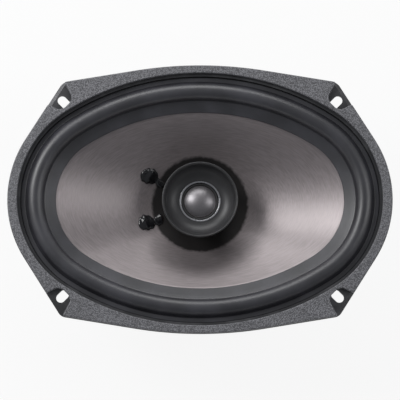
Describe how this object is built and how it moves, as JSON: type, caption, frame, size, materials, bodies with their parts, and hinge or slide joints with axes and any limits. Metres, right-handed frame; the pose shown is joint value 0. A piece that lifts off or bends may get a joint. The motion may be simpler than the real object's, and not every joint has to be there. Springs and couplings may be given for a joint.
{
  "type": "coaxial car speaker",
  "caption": "Oval coaxial car speaker: pressed basket, moulded cone on a half-roll surround, dome tweeter on a post, ring magnet and blade terminals.",
  "frame": {"origin": "centre of the mounting plane, which is the rear face of the flange", "axes": "+Z out of the front of the speaker, +X along the long axis of the oval, away from the terminals"},
  "size_m": [0.235, 0.165, 0.0823],
  "materials": {
    "basket": "satin black",
    "grained_ring": "leather grain",
    "surround": "satin",
    "cone": "brushed satin",
    "former": "satin",
    "copper": "enamelled",
    "brass": "satin",
    "cement": "gloss",
    "spider": "matte",
    "tinsel": "braided",
    "plated_steel": "zinc plated",
    "ferrite": "matte",
    "boot": "matte",
    "black_plastic": "satin",
    "neodymium": "nickel plated",
    "bright_ring": "satin",
    "dome": "satin film",
    "board": "matte",
    "sleeve": "gloss",
    "tinned_wire": "tinned",
    "wire_cover": "satin"
  },
  "bodies": {
    "frame": {"basket": "basket", "trim_ring": "grained_ring", "surround": "surround", "spider": "spider", "tinsel_leads": "tinsel", "top_plate": "plated_steel", "magnet": "ferrite", "back_plate": "plated_steel", "magnet_boot": "boot", "plate_rivets": "plated_steel", "tweeter_post": "plated_steel", "post_nut": "plated_steel", "tweeter_shell": "black_plastic", "tweeter_back_cap": "black_plastic", "tweeter_yoke": "plated_steel", "tweeter_magnet": "neodymium", "tweeter_pole_plate": "plated_steel", "tweeter_ring": "bright_ring", "tweeter_edge": "dome", "terminal_board": "board", "wide_terminal": "brass", "narrow_terminal": "brass", "terminal_rivets": "plated_steel", "capacitor": "sleeve", "capacitor_leads": "tinned_wire", "tweeter_leads": "wire_cover"},
    "cone_assembly": {"cone": "cone", "voice_coil_former": "former", "voice_coil": "copper", "lead_eyelets": "brass", "lead_glue_upper": "cement", "lead_glue_lower": "cement"},
    "dome_assembly": {"tweeter_dome": "dome", "tweeter_former": "former", "tweeter_coil": "copper"}
  },
  "joints": [
    {"name": "cone_travel", "type": "slide", "parent": "frame", "child": "cone_assembly", "axis": [0, 0, 1], "range_m": [-0.005, 0.005], "stiffness_N_per_m": 1800, "deforming": ["surround", "spider", "tinsel_leads"]},
    {"name": "dome_travel", "type": "slide", "parent": "frame", "child": "dome_assembly", "axis": [0, 0, 1], "range_m": [-0.0004, 0.0004], "stiffness_N_per_m": 200, "deforming": ["tweeter_edge"]}
  ]
}
